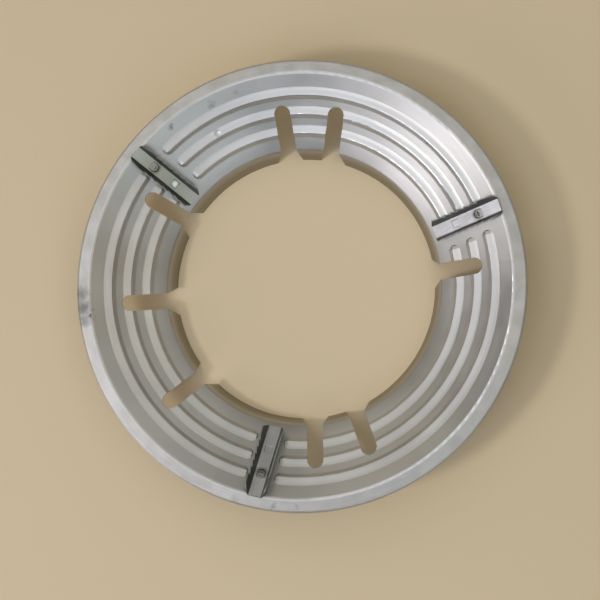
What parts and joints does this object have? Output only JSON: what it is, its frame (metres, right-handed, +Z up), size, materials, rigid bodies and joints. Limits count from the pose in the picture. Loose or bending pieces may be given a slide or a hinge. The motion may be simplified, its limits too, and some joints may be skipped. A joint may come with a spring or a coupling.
{
  "type": "wok ring",
  "caption": "Round dished sheet-metal ring with raised ribs, open slots and toothed grip brackets, which seats a round-bottomed wok on a gas hob.",
  "frame": {"origin": "on the ring's axis, in the plane that the lip's lower edge rests on", "axes": "+Z up along the ring's axis; +X out through the slot that both slot patterns share"},
  "size_m": [0.24, 0.24, 0.0377],
  "materials": {
    "dish_steel": "satin pressed stainless sheet",
    "bracket_steel": "duller rolled stainless sheet"
  },
  "bodies": {
    "root": {"dish_ring": "dish_steel", "grip_bracket_1": "bracket_steel", "grip_bracket_2": "bracket_steel", "grip_bracket_3": "bracket_steel"}
  },
  "joints": []
}
